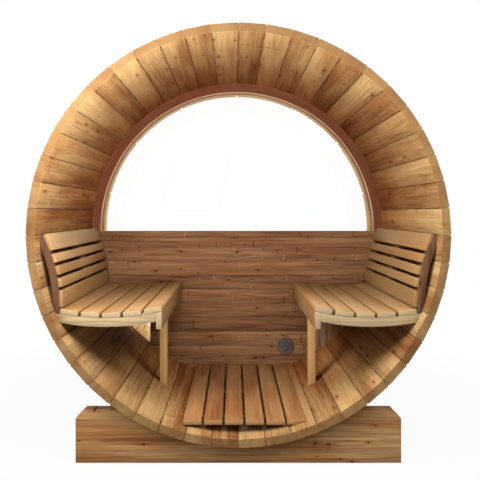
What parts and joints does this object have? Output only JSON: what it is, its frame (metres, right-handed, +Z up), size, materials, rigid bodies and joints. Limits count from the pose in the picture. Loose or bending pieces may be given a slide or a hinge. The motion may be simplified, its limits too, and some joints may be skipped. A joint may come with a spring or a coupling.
{
  "type": "barrel sauna",
  "caption": "Walk-in barrel sauna of wooden staves on two cradle boards, open at the front, with facing dished benches, backrests, a slatted floor and a half-moon window in a set-in rear wall.",
  "frame": {"origin": "middle of the footprint, on the ground under the cradle boards", "axes": "+Z up, +Y along the barrel from its open front to the rear wall, +X to the right seen from the open front"},
  "size_m": [2.06, 1.5, 2.1585],
  "materials": {
    "barrel_wood": "oiled, knotty, heat-treated softwood",
    "cradle_wood": "oiled, knotty, heat-treated softwood",
    "wall_wood": "oiled, knotty, heat-treated softwood boards",
    "arch_wood": "oiled, reddish heat-treated softwood",
    "outer_arch_wood": "oiled, reddish heat-treated softwood",
    "rim_strip_wood": "pale planed softwood",
    "hatch_wood": "planed, heat-treated softwood",
    "bench_wood": "smooth, clear, sanded softwood",
    "upright_wood": "dark heat-treated softwood",
    "floor_wood": "sanded heat-treated softwood",
    "window_glass": "clear toughened glass",
    "hoop_steel": "stainless strap",
    "vent_metal": "satin brown-grey"
  },
  "bodies": {
    "root": {"staves_1_odd": "barrel_wood", "staves_1_even": "barrel_wood", "staves_2_odd": "barrel_wood", "staves_2_even": "barrel_wood", "staves_3_odd": "barrel_wood", "staves_3_even": "barrel_wood", "staves_4_odd": "barrel_wood", "staves_4_even": "barrel_wood", "staves_5_odd": "barrel_wood", "staves_5_even": "barrel_wood", "staves_6_odd": "barrel_wood", "staves_6_even": "barrel_wood", "hoop_front": "hoop_steel", "hoop_rear": "hoop_steel", "hoop_bolts": "hoop_steel", "cradle_front": "cradle_wood", "cradle_rear": "cradle_wood", "rear_wall_boards_odd": "wall_wood", "rear_wall_boards_even": "wall_wood", "window_sill": "wall_wood", "window_arch_inside": "arch_wood", "window_glass": "window_glass", "window_arch_outside": "outer_arch_wood", "rear_rim_strip_odd": "rim_strip_wood", "rear_rim_strip_even": "rim_strip_wood", "hatch_right_boards": "hatch_wood", "vent_grille_inside": "vent_metal", "vent_sleeve": "vent_metal", "vent_grille_outside": "vent_metal", "bench_left_slats": "bench_wood", "bench_left_ribs": "bench_wood", "bench_left_fascia": "bench_wood", "bench_left_leg": "bench_wood", "backrest_left_slats": "bench_wood", "backrest_left_uprights": "upright_wood", "bench_right_slats": "bench_wood", "bench_right_ribs": "bench_wood", "bench_right_fascia": "bench_wood", "bench_right_leg": "bench_wood", "backrest_right_slats": "bench_wood", "backrest_right_uprights": "upright_wood", "floor_slats": "floor_wood", "floor_battens": "floor_wood"}
  },
  "joints": []
}
